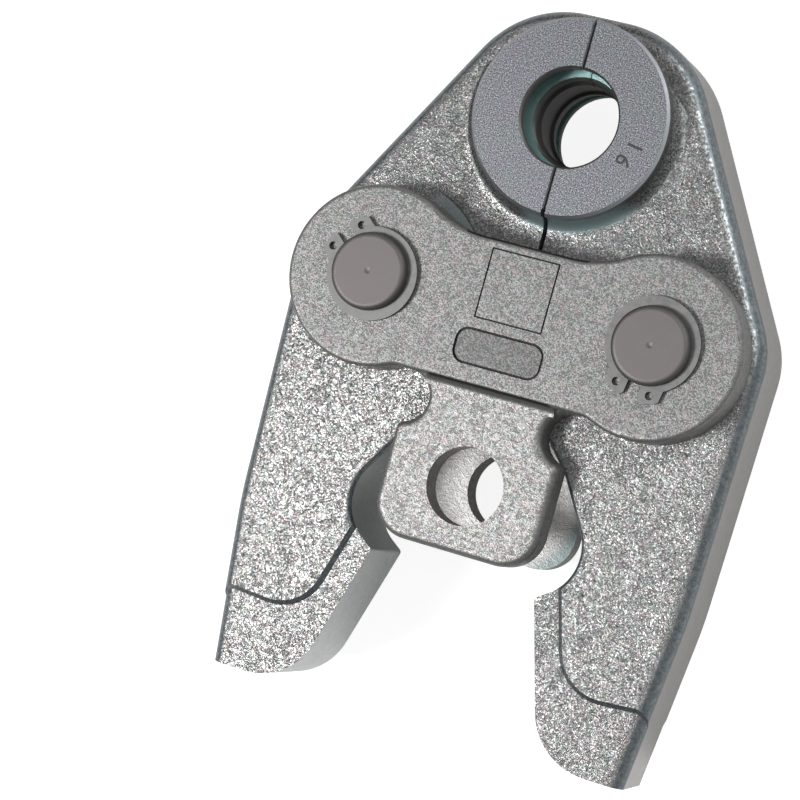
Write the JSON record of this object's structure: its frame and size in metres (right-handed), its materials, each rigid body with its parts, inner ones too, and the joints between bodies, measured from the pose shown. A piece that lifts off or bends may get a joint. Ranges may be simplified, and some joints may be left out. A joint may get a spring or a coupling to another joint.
{
  "type": "press fitting tool jaw",
  "caption": "Scissor-type pressing jaw: forged levers with half dies, hinged on round pins between T-shaped side plates, with a tool-pin hole and roller run-ins.",
  "frame": {"origin": "centre of the tool-pin hole at mid-thickness of the jaw", "axes": "+Z along the tool-pin hole out of the front side plate, +Y from the tool-pin hole towards the pressing die, +X towards the right lever"},
  "size_m": [0.089, 0.131, 0.0426],
  "materials": {
    "lever_steel": "forged, blasted and zinc plated",
    "plate_steel": "blasted and zinc plated",
    "pin_steel": "ground",
    "ring_steel": "phosphated",
    "spring_steel": "drawn wire"
  },
  "bodies": {
    "side_plates": {"side_plate_front": "plate_steel", "side_plate_rear": "plate_steel", "pivot_pin_left": "pin_steel", "pivot_pin_right": "pin_steel", "retaining_ring_front_left": "ring_steel", "retaining_ring_front_right": "ring_steel", "retaining_ring_rear_left": "ring_steel", "retaining_ring_rear_right": "ring_steel", "closing_spring": "spring_steel"},
    "lever_left": {"jaw_left": "lever_steel"},
    "lever_right": {"jaw_right": "lever_steel"}
  },
  "joints": [
    {"name": "left_lever_hinge", "type": "hinge", "parent": "side_plates", "child": "lever_left", "pos_m": [-0.0265, 0.0322, 0], "axis": [0, 0, 1], "range_deg": [0, 17], "stiffness_Nm_per_rad": 2, "springref_deg": -20.05, "deforming": ["closing_spring"]},
    {"name": "right_lever_hinge", "type": "hinge", "parent": "side_plates", "child": "lever_right", "pos_m": [0.0265, 0.0322, 0], "axis": [0, 0, -1], "range_deg": [0, 17], "stiffness_Nm_per_rad": 2, "springref_deg": -20.05, "deforming": ["closing_spring"]}
  ]
}
